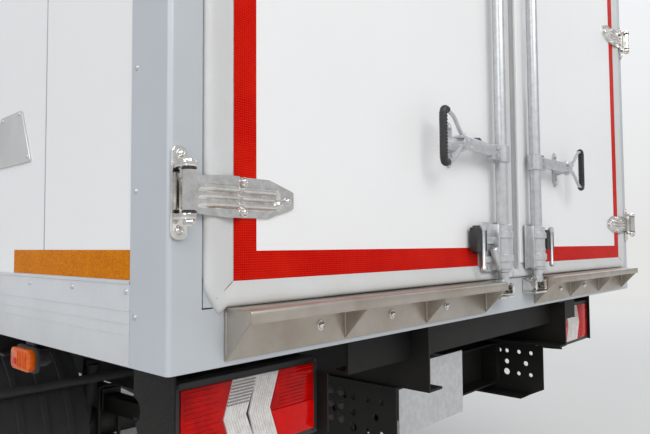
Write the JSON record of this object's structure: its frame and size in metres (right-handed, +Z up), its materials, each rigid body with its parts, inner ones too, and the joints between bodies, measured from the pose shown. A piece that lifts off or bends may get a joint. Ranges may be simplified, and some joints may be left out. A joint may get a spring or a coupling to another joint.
{
  "type": "refrigerated truck",
  "caption": "Cab-over distribution truck with an insulated box body, nose-mounted cooling unit, hinged rear doors, tilting cab, steered front wheels and twin rear wheels.",
  "frame": {"origin": "on the ground under the middle of the truck's length and width", "axes": "+X to the truck's left, +Y to its rear doors, +Z up; the truck faces -Y"},
  "size_m": [2.58, 6.7929, 3.1899],
  "materials": {
    "body_panel": "smooth white laminate panel, semi-gloss",
    "cab_paint": "white paint, gloss",
    "aluminium": "extruded, anodised",
    "portal": "extruded, pale grey-blue",
    "stainless": "brushed and polished stainless steel",
    "galvanised": "zinc plated steel",
    "gasket": "soft light grey lip seal",
    "chassis_paint": "black chassis paint",
    "cast": "black cast iron",
    "engine": "grey cast iron",
    "exhaust_steel": "heat stained steel",
    "tank": "rolled aluminium",
    "black_plastic": "moulded black plastic",
    "red_lens": "ribbed red lens",
    "amber_lens": "amber lens",
    "glass": "tinted safety glass",
    "lamp_glass": "clear lamp cover",
    "dash": "grained dark grey plastic",
    "seat_cloth": "woven dark grey cloth",
    "tyre": "black rubber",
    "rim": "silver painted steel",
    "unit_white": "white moulded cover"
  },
  "bodies": {
    "chassis": {"chassis_frame": "chassis_paint", "sub_frame": "chassis_paint", "front_axle": "cast", "rear_axle": "cast", "leaf_springs": "cast", "dampers": "cast", "drive_line": "engine", "exhaust": "exhaust_steel", "fuel_tank": "tank", "battery_box": "black_plastic", "mudguards": "black_plastic", "side_guards": "aluminium", "tail_lamp_boxes": "black_plastic", "tail_lamp_lenses": "red_lens", "side_markers": "amber_lens", "plate_carrier": "galvanised", "front_bumper": "cab_paint", "body_floor": "body_panel", "side_wall_left": "body_panel", "side_wall_right": "body_panel", "front_wall": "body_panel", "roof": "body_panel", "body_mouldings": "aluminium", "rear_portal": "portal", "rear_steelwork": "stainless", "cooling_unit": "unit_white", "cooling_grille": "black_plastic", "evaporator": "unit_white"},
    "rear_door_left": {"rear_door_left": "body_panel", "rear_door_left_gasket": "gasket", "rear_door_left_fittings": "galvanised"},
    "rear_door_right": {"rear_door_right": "body_panel", "rear_door_right_gasket": "gasket", "rear_door_right_fittings": "galvanised"},
    "cab": {"cab_shell": "cab_paint", "cab_glass": "glass", "cab_trim": "black_plastic", "headlamps": "lamp_glass", "cab_interior": "dash", "seats": "seat_cloth", "mirrors": "black_plastic"},
    "cab_door_left": {"cab_door_left": "cab_paint", "cab_door_left_glass": "glass"},
    "cab_door_right": {"cab_door_right": "cab_paint", "cab_door_right_glass": "glass"},
    "steering_wheel": {"steering_wheel": "dash"},
    "knuckle_left": {"knuckle_left": "cast"},
    "knuckle_right": {"knuckle_right": "cast"},
    "tie_rod": {"tie_rod": "cast"},
    "front_wheel_left": {"front_tyre_left": "tyre", "front_rim_left": "rim"},
    "front_wheel_right": {"front_tyre_right": "tyre", "front_rim_right": "rim"},
    "rear_wheels_left": {"rear_tyres_left": "tyre", "rear_rims_left": "rim"},
    "rear_wheels_right": {"rear_tyres_right": "tyre", "rear_rims_right": "rim"}
  },
  "joints": [
    {"name": "steer_left", "type": "hinge", "parent": "chassis", "child": "knuckle_left", "pos_m": [0.76, -2.255, 0.3835], "axis": [0, 0, 1], "range_deg": [-36, 36]},
    {"name": "steer_right", "type": "hinge", "parent": "chassis", "child": "knuckle_right", "pos_m": [-0.76, -2.255, 0.3835], "axis": [0, 0, 1], "range_deg": [-36, 36]},
    {"name": "tie_rod_swing", "type": "hinge", "parent": "knuckle_left", "child": "tie_rod", "pos_m": [0.76, -2.105, 0.2865], "axis": [0, 0, 1], "range_deg": [-36, 36]},
    {"name": "steering_wheel_turn", "type": "hinge", "parent": "cab", "child": "steering_wheel", "pos_m": [0.47, -2.835, 1.345], "axis": [0, 0.4695, 0.8829], "range_deg": [-540, 540]},
    {"name": "cab_tilt", "type": "hinge", "parent": "chassis", "child": "cab", "pos_m": [0, -3.145, 0.68], "axis": [1, 0, 0], "range_deg": [0, 45]},
    {"name": "front_wheel_left_spin", "type": "hinge", "parent": "knuckle_left", "child": "front_wheel_left", "pos_m": [0.87, -2.255, 0.3835], "axis": [1, 0, 0], "continuous": true},
    {"name": "rear_wheels_left_spin", "type": "hinge", "parent": "chassis", "child": "rear_wheels_left", "pos_m": [0.92, 1.645, 0.3835], "axis": [1, 0, 0], "continuous": true},
    {"name": "cab_door_left_swing", "type": "hinge", "parent": "cab", "child": "cab_door_left", "pos_m": [1.04, -3.158, 1.1], "axis": [0, 0, -1], "range_deg": [0, 70]},
    {"name": "rear_door_left_swing", "type": "hinge", "parent": "chassis", "child": "rear_door_left", "pos_m": [1.158, 3.354, 2.031], "axis": [0, 0, -1], "range_deg": [0, 260]},
    {"name": "front_wheel_right_spin", "type": "hinge", "parent": "knuckle_right", "child": "front_wheel_right", "pos_m": [-0.87, -2.255, 0.3835], "axis": [1, 0, 0], "continuous": true},
    {"name": "rear_wheels_right_spin", "type": "hinge", "parent": "chassis", "child": "rear_wheels_right", "pos_m": [-0.92, 1.645, 0.3835], "axis": [1, 0, 0], "continuous": true},
    {"name": "cab_door_right_swing", "type": "hinge", "parent": "cab", "child": "cab_door_right", "pos_m": [-1.04, -3.158, 1.1], "axis": [0, 0, 1], "range_deg": [0, 70]},
    {"name": "rear_door_right_swing", "type": "hinge", "parent": "chassis", "child": "rear_door_right", "pos_m": [-1.158, 3.354, 2.031], "axis": [0, 0, 1], "range_deg": [0, 260]}
  ],
  "couplings": [
    {"joint": "steer_right", "follows": "steer_left", "ratio": 1},
    {"joint": "tie_rod_swing", "follows": "steer_left", "ratio": -1},
    {"joint": "steering_wheel_turn", "follows": "steer_left", "ratio": 15}
  ]
}
